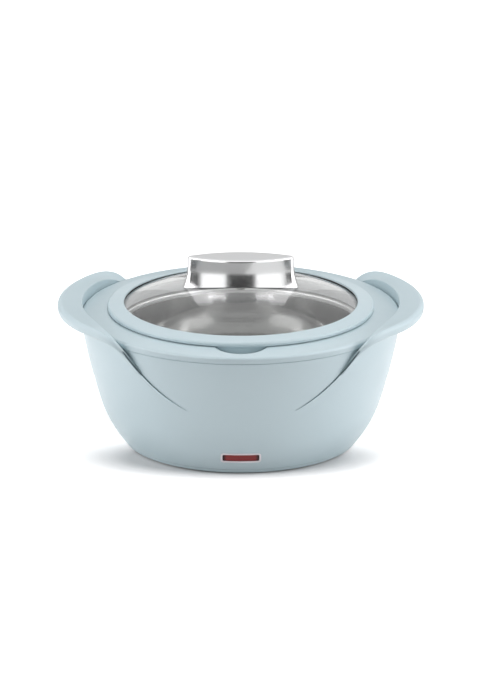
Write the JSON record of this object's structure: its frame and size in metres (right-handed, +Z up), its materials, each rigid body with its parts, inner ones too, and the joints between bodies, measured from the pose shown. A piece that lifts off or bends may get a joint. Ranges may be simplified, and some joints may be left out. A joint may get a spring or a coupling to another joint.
{
  "type": "electric casserole",
  "caption": "Round insulated electric casserole with wing grips, a heated steel bowl, a red indicator window and a lift-off domed glass lid with a chrome knob.",
  "frame": {"origin": "on the table, under the middle of the four feet", "axes": "+Z up, -Y to the front with the indicator window, +X to the right-hand grip"},
  "size_m": [0.312, 0.27, 0.1618],
  "materials": {
    "body_plastic": "satin",
    "steel_polished": "polished",
    "chrome": "polished",
    "lid_glass": "gloss",
    "lens_red": "gloss",
    "bezel_plastic": "satin",
    "grey_silicone": "matte",
    "foot_rubber": "matte",
    "black_plastic": "satin",
    "hardware_steel": "satin",
    "clamp_metal": "satin",
    "mica": "matte",
    "contact_brass": "polished",
    "lamp_glass": "gloss",
    "fibre_blanket": "matte",
    "wire_red": "satin",
    "wire_blue": "satin"
  },
  "bodies": {
    "base": {"outer_shell": "body_plastic", "rim_collar": "body_plastic", "base_cover": "body_plastic", "steel_bowl": "steel_polished", "indicator_lens": "lens_red", "lens_bezel": "bezel_plastic", "bowl_gasket": "grey_silicone", "foot_front_left": "foot_rubber", "foot_front_right": "foot_rubber", "foot_rear_left": "foot_rubber", "foot_rear_right": "foot_rubber", "power_inlet": "black_plastic", "lamp_holder": "black_plastic", "thermostat": "black_plastic", "base_screws": "hardware_steel", "clamp_nuts": "hardware_steel", "heater_clamp": "clamp_metal", "heater_disc": "mica", "inlet_pins": "contact_brass", "thermal_fuse": "clamp_metal", "indicator_lamp": "lamp_glass", "insulation_jacket": "fibre_blanket", "live_wire": "wire_red", "fuse_link": "wire_red", "heater_link": "wire_red", "neutral_wire": "wire_blue", "lamp_leads": "wire_blue"},
    "lid": {"lid_ring": "body_plastic", "lid_glass": "lid_glass", "glass_gasket": "grey_silicone", "lid_retainer": "body_plastic", "lid_seal": "grey_silicone", "knob_shell": "chrome", "knob_insert": "black_plastic", "knob_screw": "hardware_steel", "soft_washer": "grey_silicone", "steel_washer": "hardware_steel"}
  },
  "joints": [
    {"name": "lid_lift", "type": "slide", "parent": "base", "child": "lid", "axis": [0, 0, 1], "range_m": [0, 0.12]}
  ]
}
